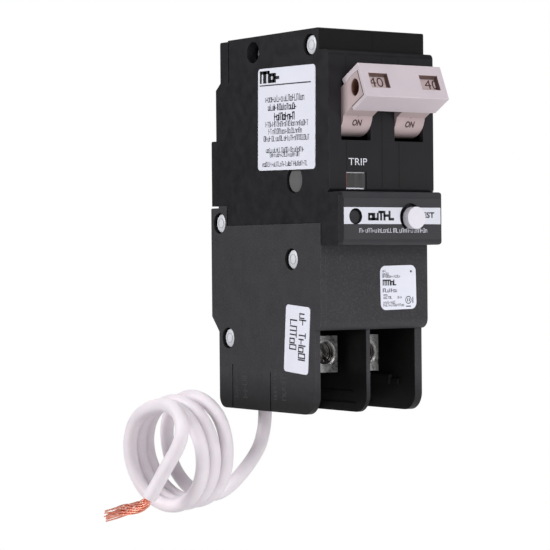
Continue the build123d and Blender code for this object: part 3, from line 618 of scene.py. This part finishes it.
# Stroke shapes that stand for print too small to read: ends of each stroke in a unit cell.
STROKES = [
    [(0, 0, 0, 1)],
    [(0, 0, 0, 1), (0, 1, 1, 1), (1, 0, 1, 1)],
    [(0, 0, 0, 1), (0, 0, 1, 0)],
    [(0, 0, 0, 1), (1, 0, 1, 1), (0, 0, 1, 0), (0, 1, 1, 1)],
    [(0, 0, 0, 1), (0, 0.5, 1, 0.5)],
    [(0.5, 0, 0.5, 1), (0, 1, 1, 1)],
    [(0, 0, 0, 0.7), (0, 0.7, 1, 0.7), (1, 0, 1, 0.7)],
    [(0, 0, 0, 0.7), (1, 0, 1, 0.7), (0, 0, 1, 0), (0, 0.7, 1, 0.7)],
    [(0, 0, 0, 0.7), (0, 0.35, 1, 0.35)],
    [(0, 0, 0, 0.7), (1, 0, 1, 0.7), (0, 0, 1, 0)],
]


def print_row(chance, x0, x1, y, height, weight=0.15, wide=0.5, word=0):
    """Strokes that stand for a row of small print, from x0 to x1 on a base line y.
    word, when given, is how many letters its first word has."""
    boxes = []
    pen = weight * height
    cell = wide * height
    x = x0
    letters_left = word or chance.randint(2, 8)
    while x + cell <= x1 + 0.01:
        if letters_left == 0:
            letters_left = chance.randint(2, 8)
            x += 0.55 * cell
            continue
        letters_left -= 1
        glyph = chance.choice(STROKES)
        span = 0 if len(glyph) == 1 else cell
        for ax, ay, bx, by in glyph:
            boxes.append((
                x + ax * span - pen / 2, y + ay * height - pen / 2,
                x + bx * span + pen / 2, y + by * height + pen / 2,
            ))
        x += span + 0.45 * cell
    return boxes


def lever_point(u, v):
    """A side-view point from its distance out along the lever and down across it."""
    y = PIVOT_Y - u * math.cos(ON_TILT) - v * math.sin(ON_TILT)
    z = PIVOT_Z + u * math.sin(ON_TILT) - v * math.cos(ON_TILT)
    return y, z


# ---------------------------------------------------------------- camera, light and floor

def make_camera():
    """The camera, from its place and its three turns."""
    sin_a, cos_a = math.sin(CAMERA_HEADING), math.cos(CAMERA_HEADING)
    sin_e, cos_e = math.sin(CAMERA_PITCH), math.cos(CAMERA_PITCH)
    back = Vector((sin_a * cos_e, -cos_a * cos_e, sin_e))
    level_right = Vector((cos_a, sin_a, 0))
    level_up = back.cross(level_right)
    right = math.cos(CAMERA_ROLL) * level_right + math.sin(CAMERA_ROLL) * level_up
    up = math.cos(CAMERA_ROLL) * level_up - math.sin(CAMERA_ROLL) * level_right
    basis = Matrix((right, up, back)).transposed().to_4x4()
    lens = bpy.data.cameras.new("camera")
    lens.lens = LENS_MM
    lens.sensor_width = 36
    lens.clip_start = 0.01
    lens.clip_end = 20
    camera = link(bpy.data.objects.new("camera", lens))
    camera.matrix_world = Matrix.Translation(Vector(CAMERA_PLACE) * MM) @ basis
    bpy.context.scene.camera = camera


def area_light(name, place, target, size, power):
    """A soft square light aimed at a point, both in millimetres."""
    lamp = bpy.data.lights.new(name, "AREA")
    lamp.size = size * MM
    lamp.energy = power
    light = link(bpy.data.objects.new(name, lamp))
    aim = (Vector(target) - Vector(place)).normalized()
    turn = aim.to_track_quat("-Z", "Y").to_matrix().to_4x4()
    light.matrix_world = Matrix.Translation(Vector(place) * MM) @ turn


def make_lights():
    """A key by the camera, low lights at both sides, a broad left fill, and lights above and behind."""
    middle = (0, -30, 10)
    area_light("key", (-100, -760, 300), middle, 300, 2.4)
    area_light("low_right", (430, -560, -20), middle, 300, 0.35)
    area_light("low_left", (-120, -640, -60), middle, 250, 1.3)
    area_light("fill_left", (-700, 200, 330), middle, 420, 5.5)
    area_light("top", (80, -300, 620), middle, 420, 1.6)
    area_light("back", (200, 500, 350), middle, 500, 1.5)


def camera_choice(tree, unseen, seen):
    """One shader for the light that reaches surfaces and another for what the camera sees."""
    choose = tree.nodes.new("ShaderNodeMixShader")
    ray = tree.nodes.new("ShaderNodeLightPath")
    tree.links.new(ray.outputs["Is Camera Ray"], choose.inputs["Fac"])
    tree.links.new(unseen, choose.inputs[1])
    tree.links.new(seen, choose.inputs[2])
    return choose.outputs["Shader"]


def make_world():
    """A white backdrop whose light on the object is a dim grey."""
    world = bpy.data.worlds.new("studio")
    bpy.context.scene.world = world
    world.use_nodes = True
    tree = world.node_tree
    tree.nodes.clear()
    output = tree.nodes.new("ShaderNodeOutputWorld")
    shades = []
    for strength in (WORLD_LIGHT, 1.0):
        shade = tree.nodes.new("ShaderNodeBackground")
        shade.inputs["Color"].default_value = (1, 1, 1, 1)
        shade.inputs["Strength"].default_value = strength
        shades.append(shade.outputs["Background"])
    tree.links.new(camera_choice(tree, *shades), output.inputs["Surface"])
    bpy.context.scene.view_settings.view_transform = "Standard"
    bpy.context.scene.view_settings.look = "None"


def floor_material():
    """White to the camera; to the object it glows in front and fades out to every side."""
    made = bpy.data.materials.new("floor_white")
    made.use_nodes = True
    tree = made.node_tree
    tree.nodes.clear()
    output = tree.nodes.new("ShaderNodeOutputMaterial")
    place = tree.nodes.new("ShaderNodeTexCoord")
    distance = tree.nodes.new("ShaderNodeVectorMath")
    distance.operation = "DISTANCE"
    distance.inputs[1].default_value = tuple(c * MM for c in FLOOR_GLOW_MIDDLE)
    tree.links.new(place.outputs["Object"], distance.inputs[0])
    reach = FLOOR_GLOW_REACH * MM
    glow = tree.nodes.new("ShaderNodeEmission")
    strength = ranged(tree, distance.outputs["Value"], FLOOR_GLOW, 0.06, 0.0, reach)
    tree.links.new(strength, glow.inputs["Strength"])
    white = tree.nodes.new("ShaderNodeEmission")
    both = camera_choice(tree, glow.outputs["Emission"], white.outputs["Emission"])
    tree.links.new(both, output.inputs["Surface"])
    return made


def make_floor():
    """A plain pale floor just under the lowest point of the pigtail."""
    level = cad_box[0][2] / MM - 0.5
    reach = 4000
    mesh = bpy.data.meshes.new("floor")
    corners = [(-reach, -reach), (reach, -reach), (reach, reach), (-reach, reach)]
    mesh.from_pydata([(x * MM, y * MM, level * MM) for x, y in corners], [], [(0, 1, 2, 3)])
    mesh.materials.append(floor_material())
    link(bpy.data.objects.new("floor", mesh))


# ---------------------------------------------------------------- pigtail

def coil_points():
    """Control points of the coil's turns, from the bottom at its near end round to the top."""
    along = Vector((
        math.cos(COIL_RISE) * math.cos(COIL_HEADING),
        math.cos(COIL_RISE) * math.sin(COIL_HEADING),
        math.sin(COIL_RISE),
    ))
    rear = Vector((-math.sin(COIL_HEADING), math.cos(COIL_HEADING), 0))
    upward = along.cross(rear)
    points = []
    for angle in range(COIL_STATIONS[0][0], COIL_STATIONS[-1][0] + 1, COIL_STEP):
        index = max(i for i, stop in enumerate(COIL_STATIONS[:-1]) if stop[0] <= angle)
        (a0, s0, r0), (a1, s1, r1) = COIL_STATIONS[index:index + 2]
        share = (angle - a0) / (a1 - a0)
        turn = math.radians(angle)
        ray = rear * math.sin(turn) - upward * math.cos(turn)
        station = along * (s0 + share * (s1 - s0))
        points.append(tuple(COIL_MIDDLE + station + ray * (r0 + share * (r1 - r0))))
    return points


def make_pigtail(paint):
    """The insulated wire and the bare strands at its end."""
    points = LEAD + coil_points() + TAIL
    wire = route_curve("pigtail_wire", points, WIRE_R, paint["wire"])
    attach(wire, "housing")
    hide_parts("pigtail_lead", "pigtail_coil", "pigtail_tail")
    strands = make_strands(paint["strand"])
    length = spline_length(wire)
    return length


def spline_length(curve_object):
    """A curve's length in millimetres."""
    return sum(spline.calc_length() for spline in curve_object.data.splines) / MM


def make_strands(material):
    """Bare copper strands: a loose twist that frays a little towards the tip."""
    chance = random.Random(7)
    curve = bpy.data.curves.new("bare_strands", "CURVE")
    curve.dimensions = "3D"
    curve.bevel_depth = STRAND_R * MM
    curve.bevel_resolution = 2
    curve.use_fill_caps = True
    spots = [(reach, first + 360 / count * k) for reach, first, count in STRAND_RINGS for k in range(count)]
    for reach, degrees in spots:
        spline = curve.splines.new("NURBS")
        spline.points.add(STRAND_STEPS)
        stray = Vector([chance.uniform(-1, 1) for _ in "xyz"]) * STRAND_STRAY
        cut = chance.uniform(0.93, 1.0)
        for step in range(STRAND_STEPS + 1):
            share = step / STRAND_STEPS * cut
            centre, ahead = along_bare(share)
            sideways = ahead.orthogonal().normalized()
            other = ahead.cross(sideways)
            turn = math.radians(degrees + STRAND_TWIST * share)
            spread = reach * (1.05 + 0.3 * math.sin(math.pi * share) + 0.15 * share)
            ray = sideways * math.cos(turn) + other * math.sin(turn)
            spot = centre + ray * spread + stray * share ** 2
            spline.points[step].co = (*(spot * MM), 1)
        spline.order_u = 3
        spline.use_endpoint_u = True
    curve.materials.append(material)
    strands = link(bpy.data.objects.new("bare_strands", curve))
    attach(strands, "housing")
    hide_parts("pigtail_bare")
    return strands


def along_bare(share):
    """A point and a direction on a smooth line along the bare end's route."""
    start, first, second, end = [Vector(p) for p in BARE]
    halfway = (first + second) / 2
    controls = (start, first, halfway) if share < 0.5 else (halfway, second, end)
    part = 2 * share if share < 0.5 else 2 * share - 1
    low = controls[0].lerp(controls[1], part)
    high = controls[1].lerp(controls[2], part)
    return low.lerp(high, part), (high - low).normalized()


# ---------------------------------------------------------------- CAD nodes

def dress(name, material, edge):
    """A CAD node's material, and softened edges where edge is more than zero."""
    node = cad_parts[name]
    node.data.materials.clear()
    node.data.materials.append(material)
    if edge:
        soften = node.modifiers.new("soft_edges", "BEVEL")
        soften.width = edge * MM
        soften.segments = 2
        soften.limit_method = "ANGLE"
        soften.angle_limit = math.radians(35)
        soften.harden_normals = True


# The look of each node: its name, its material and how far its edges are softened, in millimetres.
POLE_LOOKS = [
    ("pole_{}_cover", "case", 0.16), ("pole_{}_base", "case", 0.16), ("toggle_{}", "toggle", 0.14),
    ("line_jaw_{}", "copper", 0), ("fixed_contact_{}", "silver", 0), ("contact_arm_{}", "copper", 0),
    ("moving_contact_{}", "silver", 0), ("cradle_{}", "steel", 0), ("operating_spring_{}", "spring", 0),
    ("bimetal_{}", "steel", 0), ("magnet_yoke_{}", "steel", 0), ("arc_chute_{}", "fibre", 0),
    ("load_strap_{}", "copper", 0), ("lug_{}", "lug", 0.2), ("lug_screw_{}", "screw", 0.12),
    ("pressure_pad_{}", "steel", 0.1),
]
SHARED_LOOKS = [
    ("gfci_case", "module", 0.2), ("gfci_cover", "module", 0.2), ("face_block", "block", 0.15),
    ("face_label", "plate", 0), ("tie_bar", "tie", 0.16), ("test_button", "button", 0.25),
    ("side_label", "label", 0), ("side_sticker", "label", 0), ("front_label", "label", 0),
    ("sealing_plug", "plug", 0.15), ("trip_lens", "lens", 0), ("trip_flag", "flag", 0),
    ("trip_bar", "grey", 0), ("rivets_upper", "rivet", 0), ("rivets_lower", "rivet", 0),
    ("button_spring", "spring", 0), ("status_led", "led", 0), ("face_board", "board", 0),
    ("main_board", "board", 0), ("sensor_core", "core", 0), ("solenoid_frame", "steel", 0),
    ("solenoid_coil", "winding", 0), ("solenoid_plunger", "steel", 0),
    ("pigtail_bushing", "module", 0.1),
]


def dress_nodes(paint):
    """Every CAD node that stays in sight or inside."""
    for name, key, edge in POLE_LOOKS:
        for pole in "ab":
            dress(name.format(pole), paint[key], edge)
    for name, key, edge in SHARED_LOOKS:
        dress(name, paint[key], edge)


# ---------------------------------------------------------------- print

# More letters than any row holds, for a row that is one unbroken word.
WHOLE_ROW = 99

# Rows of small print on the side label, as (height, rear end, front end, letter height, stroke weight),
# and on the front label, as (left, right, height, letter height).
SIDE_ROWS = [
    (48.0, -28.7, -48.1, 1.75, 0.13), (45.5, -30.0, -45.1, 1.65, 0.17), (42.7, -33.2, -44.3, 1.95, 0.20),
    (40.5, -28.7, -50.8, 1.45, 0.13), (38.4, -30.2, -47.5, 1.45, 0.13), (36.3, -27.7, -50.8, 1.45, 0.13),
    (32.9, -28.9, -48.1, 1.35, 0.13), (31.5, -30.9, -46.3, 1.2, 0.13), (28.8, -27.1, -49.8, 1.3, 0.13),
]
FRONT_ROWS = [
    (2.8, 4.6, -3.0, 0.7), (2.8, 5.5, -3.9, 0.7), (2.8, 9.7, -4.6, 0.7), (3.0, 8.3, -8.7, 1.0),
    (3.2, 5.0, -10.05, 0.7), (3.2, 6.5, -10.8, 0.7), (8.4, 10.3, -10.8, 0.6), (3.2, 7.8, -12.2, 0.65),
    (3.2, 10.7, -13.0, 0.7),
]


def print_side_label(paint):
    """Rows of small print, a bold heading and a rule on the side label."""
    chance = random.Random(11)
    rear = -25.4
    where = side_plane(rear, 0, turn=math.radians(-1.0))
    rows = []
    for z, y0, y1, height, weight in SIDE_ROWS:
        rows += print_row(chance, rear - y0, rear - y1, z - height / 2, height, weight, 0.42)
    rectangles("side_label_rows", rows, where, paint["faint"], "housing")
    heading = print_row(chance, 0.7, 11.2, 53.2, 2.7, 0.36, 0.62, WHOLE_ROW)
    rectangles("side_label_heading", heading, where, paint["ink"], "housing")
    rectangles("side_label_rule", [(0.1, 51.9, 26.0, 52.25)], where, paint["ink"], "housing")


def print_sticker(paint):
    """Three words of thin letters in two lines that run down the sticker."""
    chance = random.Random(5)
    turn = math.radians(4.2)
    downward = (0, math.sin(turn), -math.cos(turn))
    forward = (0, -math.cos(turn), -math.sin(turn))
    where = plane((-CASE_HALF - FILM, -44.7, -22.7), downward, forward)
    rows = []
    for x0, x1, base in [(-7.6, -3.2, 1.05), (-2.0, 7.1, 1.05), (-5.5, 4.3, -3.45)]:
        rows += print_row(chance, x0, x1, base, 3.1, 0.13, 0.40, WHOLE_ROW)
    rectangles("sticker_rows", rows, where, paint["ink"], "housing")


def print_front_label(paint):
    """Rows of small print, a bold heading and a round mark on the front label."""
    chance = random.Random(3)
    label_y = CASE_FRONT - FILM
    where = front_plane(0, 0, label_y)
    rows = []
    for x0, x1, z, height in FRONT_ROWS:
        rows += print_row(chance, x0, x1, z - height / 2, height, 0.16)
    rectangles("front_label_rows", rows, where, paint["faint"], "housing")
    heading = print_row(chance, 3.1, 8.1, -7.1, 1.35, 0.28, 0.5, WHOLE_ROW)
    rectangles("front_label_heading", heading, where, paint["ink"], "housing")
    mark = front_plane(12.4, -11.6, label_y)
    disc("front_label_ring", (0.9, 1.15), mark, paint["faint"], "housing")
    bars = [(-0.5, -0.45, -0.2, 0.45), (0.2, -0.45, 0.5, 0.45),
            (-0.9, -2.0, 0.9, -1.7), (1.5, -0.9, 1.8, 0.9)]
    rectangles("front_label_mark", bars, mark, paint["faint"], "housing")
    disc("front_label_dot", (0, 0.35), front_plane(13.4, -3.2, label_y), paint["faint"], "housing")


def print_face(paint):
    """The white stripe across the face label, its lettering and its small print."""
    chance = random.Random(9)
    face_y = BLOCK_FRONT - FILM
    where = front_plane(0, 0, face_y)
    make_stripe(paint, face_y)
    heading = print_row(chance, -7.5, 2.3, 11.9, 2.05, 0.36, 0.62, WHOLE_ROW)
    rectangles("face_heading", heading, where, paint["ink"], "housing", 2 * INK_LIFT)
    small = print_row(chance, -11.0, 13.9, 8.1, 1.15, 0.11, 0.5)
    rectangles("face_small_print", small, where, paint["white"], "housing")
    lettering("face_test", "TEST", 1.7, 6.0, front_plane(13.4, 13.15, face_y - INK_LIFT),
              paint["ink"], "housing", 0.035)


def make_stripe(paint, face_y):
    """The white stripe: a strip with round openings for the light and the button's well."""
    left, low = (-16.5, 10.5)
    right, high = (18.75, 15.3)
    columns = 352
    edges = [left + (right - left) * i / columns for i in range(columns + 1)]
    verts = []
    faces = []
    for x0, x1 in zip(edges, edges[1:]):
        for z0, z1 in clear_spans((x0 + x1) / 2, low, high):
            start = len(verts)
            for x, z in ((x0, z0), (x1, z0), (x1, z1), (x0, z1)):
                verts.append((x, face_y - INK_LIFT, z))
            faces.append((start, start + 1, start + 2, start + 3))
    mesh_piece("face_stripe", verts, faces, paint["stripe"], "housing")


def clear_spans(x, low, high):
    """The heights at x that the round holes leave between low and high."""
    for hole_x, hole_z, radius in FACE_HOLES:
        if abs(x - hole_x) < radius:
            half = math.sqrt(radius ** 2 - (x - hole_x) ** 2)
            spans = [(low, min(high, hole_z - half)), (max(low, hole_z + half), high)]
            return [(a, b) for a, b in spans if b > a]
    return [(low, high)]


def print_housing(paint):
    """The word over the trip window, and the dark seams between the shells."""
    word_place = front_plane(-8.75, 28.45, RAISED_FRONT)
    lettering("trip_word", "TRIP", 2.0, 6.6, word_place, paint["white"], "housing")
    first, second, third = SEAMS
    over_window = (25.8, 34.5)
    over_handles = (50.1, 58.8)
    spans = [(first, *over_window), (first, *over_handles), (second, 21.0, 58.8), (third, 21.0, 34.5),
             (third, *over_handles)]
    seam_lines("front_seams", spans, front_plane(0, 0, RAISED_FRONT), paint)
    top = plane((0, 0, TOP), (1, 0, 0), (0, 1, 0))
    seam_lines("top_seams", [(x, -55.6, -9.7) for x in SEAMS], top, paint)
    rear = plane((0, 0, 0), (-1, 0, 0), (0, 0, 1))
    seam_lines("rear_seams", [(-x, 17.6, 36.2) for x in SEAMS], rear, paint)


def seam_lines(name, spans, where, paint):
    """Seams as (place across, start, end) on a drawing plane."""
    boxes = [(x - SEAM_HALF, start, x + SEAM_HALF, end) for x, start, end in spans]
    rectangles(name, boxes, where, paint["seam"], "housing")


def emboss_module(paint):
    """Faint moulded characters that run up beside the two grooves low on the left side."""
    chance = random.Random(21)
    columns = [("rear_small", -12.9, 1.6), ("rear_large", -17.3, 2.9),
               ("front_small", -33.2, 1.9), ("front_large", -37.5, 2.7)]
    for name, y, height in columns:
        where = plane((-CASE_HALF, y, -40.6), (0, 0, 1), (0, 1, 0))
        rows = print_row(chance, 0, 9.2, -height / 2, height, 0.09, 0.45, WHOLE_ROW)
        rectangles(f"module_marks_{name}", rows, where, paint["emboss"], "housing")


def ring_rivets(paint):
    """The faint turned ring on each rivet's head."""
    for index, (y, z, out) in enumerate(RIVET_HEADS):
        where = side_plane(y, z, -out + 0.07)
        disc(f"rivet_ring_{index}", (1.3, 1.5), where, paint["rim"], "housing")


def print_handle(paint):
    """The rating on each toggle's head, and the word and its tick on each drum."""
    high = Vector((0, *lever_point(HEAD_TOP_U, -LEVER_HALF)))
    low = Vector((0, *lever_point(HEAD_LOW_U, LEVER_HALF)))
    upward = high - low
    middle = (high + low) / 2 + upward.normalized() * 0.3
    word_z = 39.6
    tick_z = 41.8
    tick = [(-0.09, -0.6, 0.09, 0.6)]
    for pole, place in TOGGLES.items():
        face = plane((place["rating"], middle.y, middle.z), (1, 0, 0), upward)
        lettering(f"rating_{pole}", "40", 2.95, 5.0, face, paint["brown"], "handle")
        lettering(f"on_word_{pole}", "ON", 2.0, 3.3, None, paint["brown"], "handle", 0.045,
                  wrap=drum_wrap(place["middle"], word_z))
        # Painted shade under the window's upper and right edges.
        make_window_gap(f"window_painted_shade_{pole}", face, place, paint)
        over_word = tick_plane(place["middle"], tick_z)
        rectangles(f"on_tick_{pole}", tick, over_word, paint["brown"], "handle", 0.03)


def make_tie_gaps(paint):
    """Painted shade: a dark line in the crevice between the tie and the toggle inside it, at each end of
    the tie.
    """
    left, right = TIE_ENDS
    for name, x in (("left", left - INK_LIFT), ("right", right + INK_LIFT)):
        verts = [(x, *lever_point(u, v)) for quad in PAINTED_TIE_SHADE for u, v in quad]
        mesh_piece(f"tie_painted_shade_{name}", verts, [(0, 1, 2, 3), (4, 5, 6, 7)], paint["brown"], "handle")


def make_window_gap(name, face, place, paint):
    """Painted shade: a dark strip in the crevice under the upper and right edges of the tie's window over a
    rating.
    """
    left, right = (edge - place["rating"] for edge in place["window"])
    top = 1.95
    low = -2.5
    boxes = [(left, top - 0.28, right, top), (right - 0.25, low, right, top)]
    rectangles(name, boxes, face, paint["brown"], "handle")


def drum_wrap(x_middle, z_middle):
    """A function that lays a flat point on the drum's face, centred at a height."""
    start = math.asin((z_middle - PIVOT_Z) / DRUM_R)

    def wrap(flat):
        angle = start + flat.y / DRUM_R
        reach = DRUM_R + flat.z
        y = PIVOT_Y - reach * math.cos(angle)
        return Vector((x_middle + flat.x, y, PIVOT_Z + reach * math.sin(angle)))

    return wrap


def tick_plane(x, z):
    """A drawing plane on the drum's face at a height."""
    angle = math.asin((z - PIVOT_Z) / DRUM_R)
    place = (x, PIVOT_Y - DRUM_R * math.cos(angle), PIVOT_Z + DRUM_R * math.sin(angle))
    return plane(place, (1, 0, 0), (0, math.sin(angle), math.cos(angle)))


def make_window_edges(paint):
    """The lit top and bottom edges of the trip lens, and the flag's red edge at its left."""
    where = front_plane(0, 0, LENS_FRONT)
    left = -12.9
    rectangles("window_edge_low", [(left, 20.6, -6.6, 20.95)], where, paint["white"], "housing")
    rectangles("window_edge_high", [(left, 25.2, -6.4, 25.4)], where, paint["rim"], "housing")
    rectangles("window_edge_red", [(left, 21.1, -12.72, 25.1)], where, paint["flag"], "housing")


# ---------------------------------------------------------------- put it together

def build():
    """The whole scene, camera and pigtail first."""
    make_camera()
    paint = make_materials()
    wire_length = make_pigtail(paint)
    make_world()
    make_lights()
    make_floor()
    dress_nodes(paint)
    print_side_label(paint)
    print_sticker(paint)
    print_front_label(paint)
    print_face(paint)
    print_housing(paint)
    emboss_module(paint)
    ring_rivets(paint)
    print_handle(paint)
    make_tie_gaps(paint)
    make_window_edges(paint)
    print(f"wire {wire_length:.1f} mm")


build()
